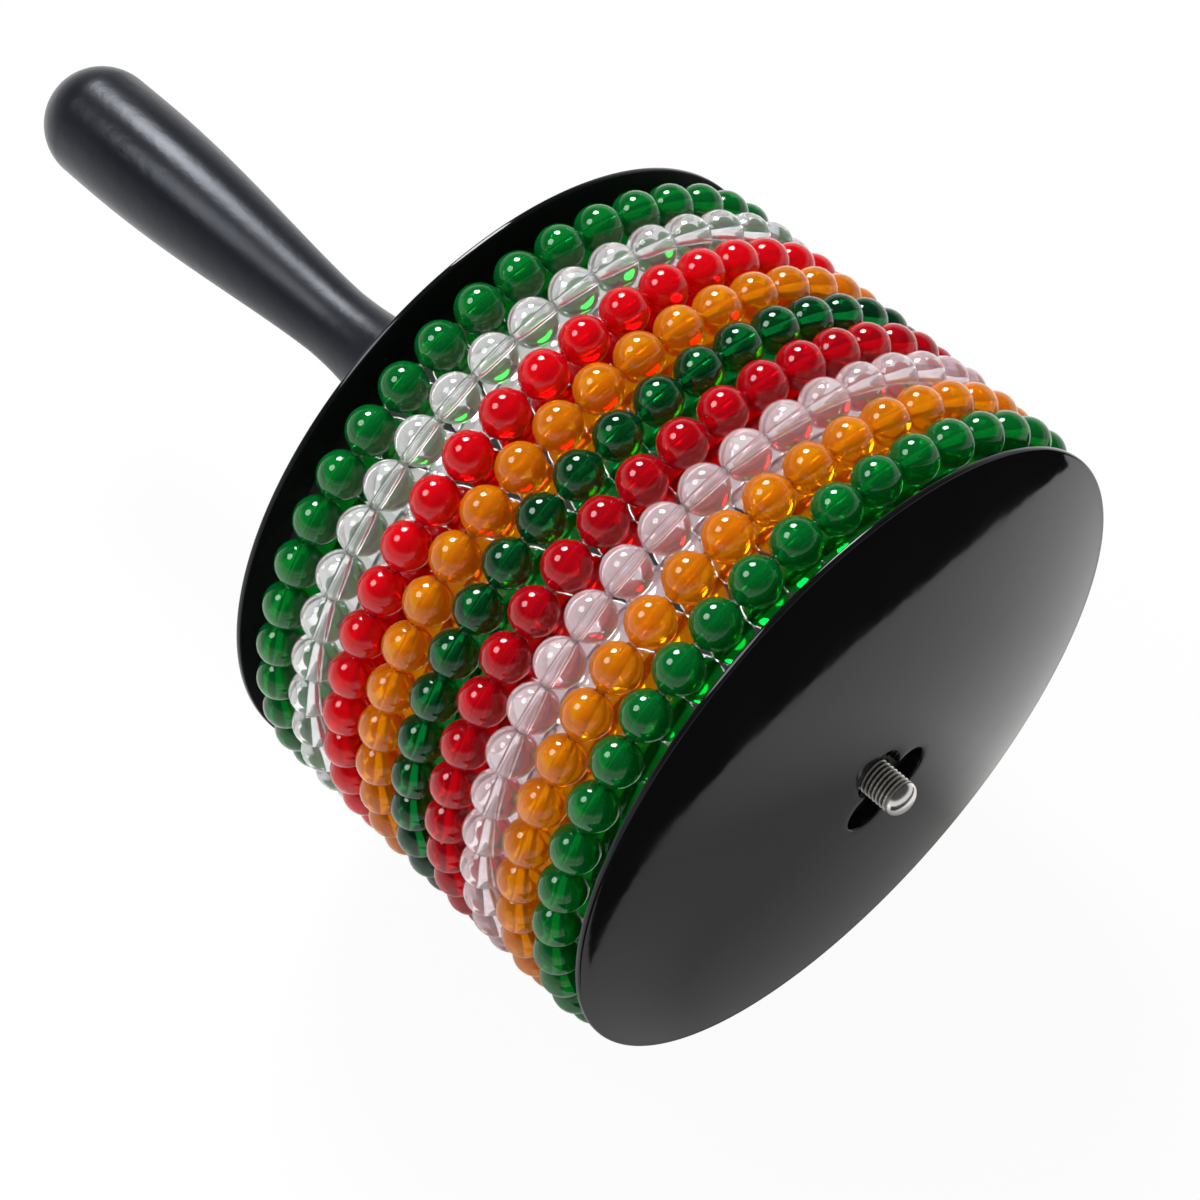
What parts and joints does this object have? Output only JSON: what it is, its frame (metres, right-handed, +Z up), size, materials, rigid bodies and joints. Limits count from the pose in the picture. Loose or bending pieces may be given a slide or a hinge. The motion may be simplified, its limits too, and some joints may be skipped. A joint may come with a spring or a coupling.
{
  "type": "cabasa",
  "caption": "Hand-held cabasa: loops of round clear and coloured beads turn on a polished steel drum between two domed black discs, with a black moulded handle.",
  "frame": {"origin": "on the table under the middle of the length, with the instrument lying on its loops of beads", "axes": "+X along the axis towards the rod's domed end, with the handle towards -X; +Z up"},
  "size_m": [0.2186, 0.1226, 0.1226],
  "materials": {
    "handle_black": "satin moulded",
    "insert_brass": "turned",
    "rod_nickel": "nickel plated",
    "disc_black": "high gloss",
    "nut_black": "gloss moulded",
    "core_wood": "turned, unfinished",
    "sleeve_steel": "mirror polished",
    "beads_green": "clear tinted, polished",
    "beads_clear": "clear, polished",
    "beads_red": "clear tinted, polished",
    "beads_orange": "clear tinted, polished",
    "beads_dark_green": "clear tinted, polished",
    "beads_dark_red": "clear tinted, polished",
    "cord_nylon": "clear nylon line"
  },
  "bodies": {
    "drum_and_handle": {"handle": "handle_black", "handle_insert": "insert_brass", "tie_rod": "rod_nickel", "rear_disc": "disc_black", "front_disc": "disc_black", "lobed_nut": "nut_black", "drum_core": "core_wood", "drum_sleeve": "sleeve_steel"},
    "loop_1": {"bead_loop_1": "beads_green", "loop_cord_1": "cord_nylon"},
    "loop_2": {"bead_loop_2": "beads_clear", "loop_cord_2": "cord_nylon"},
    "loop_3": {"bead_loop_3": "beads_red", "loop_cord_3": "cord_nylon"},
    "loop_4": {"bead_loop_4": "beads_orange", "loop_cord_4": "cord_nylon"},
    "loop_5": {"bead_loop_5": "beads_dark_green", "loop_cord_5": "cord_nylon"},
    "loop_6": {"bead_loop_6": "beads_dark_red", "loop_cord_6": "cord_nylon"},
    "loop_7": {"bead_loop_7": "beads_clear", "loop_cord_7": "cord_nylon"},
    "loop_8": {"bead_loop_8": "beads_orange", "loop_cord_8": "cord_nylon"},
    "loop_9": {"bead_loop_9": "beads_green", "loop_cord_9": "cord_nylon"}
  },
  "joints": [
    {"name": "loop_1_turn", "type": "hinge", "parent": "drum_and_handle", "child": "loop_1", "pos_m": [0.02205, 0, 0.0613], "axis": [1, 0, 0], "continuous": true},
    {"name": "loop_2_turn", "type": "hinge", "parent": "drum_and_handle", "child": "loop_2", "pos_m": [0.03035, 0, 0.0613], "axis": [1, 0, 0], "continuous": true},
    {"name": "loop_3_turn", "type": "hinge", "parent": "drum_and_handle", "child": "loop_3", "pos_m": [0.03865, 0, 0.0613], "axis": [1, 0, 0], "continuous": true},
    {"name": "loop_4_turn", "type": "hinge", "parent": "drum_and_handle", "child": "loop_4", "pos_m": [0.04695, 0, 0.0613], "axis": [1, 0, 0], "continuous": true},
    {"name": "loop_5_turn", "type": "hinge", "parent": "drum_and_handle", "child": "loop_5", "pos_m": [0.05525, 0, 0.0613], "axis": [1, 0, 0], "continuous": true},
    {"name": "loop_6_turn", "type": "hinge", "parent": "drum_and_handle", "child": "loop_6", "pos_m": [0.06355, 0, 0.0613], "axis": [1, 0, 0], "continuous": true},
    {"name": "loop_7_turn", "type": "hinge", "parent": "drum_and_handle", "child": "loop_7", "pos_m": [0.07185, 0, 0.0613], "axis": [1, 0, 0], "continuous": true},
    {"name": "loop_8_turn", "type": "hinge", "parent": "drum_and_handle", "child": "loop_8", "pos_m": [0.08015, 0, 0.0613], "axis": [1, 0, 0], "continuous": true},
    {"name": "loop_9_turn", "type": "hinge", "parent": "drum_and_handle", "child": "loop_9", "pos_m": [0.08845, 0, 0.0613], "axis": [1, 0, 0], "continuous": true}
  ]
}
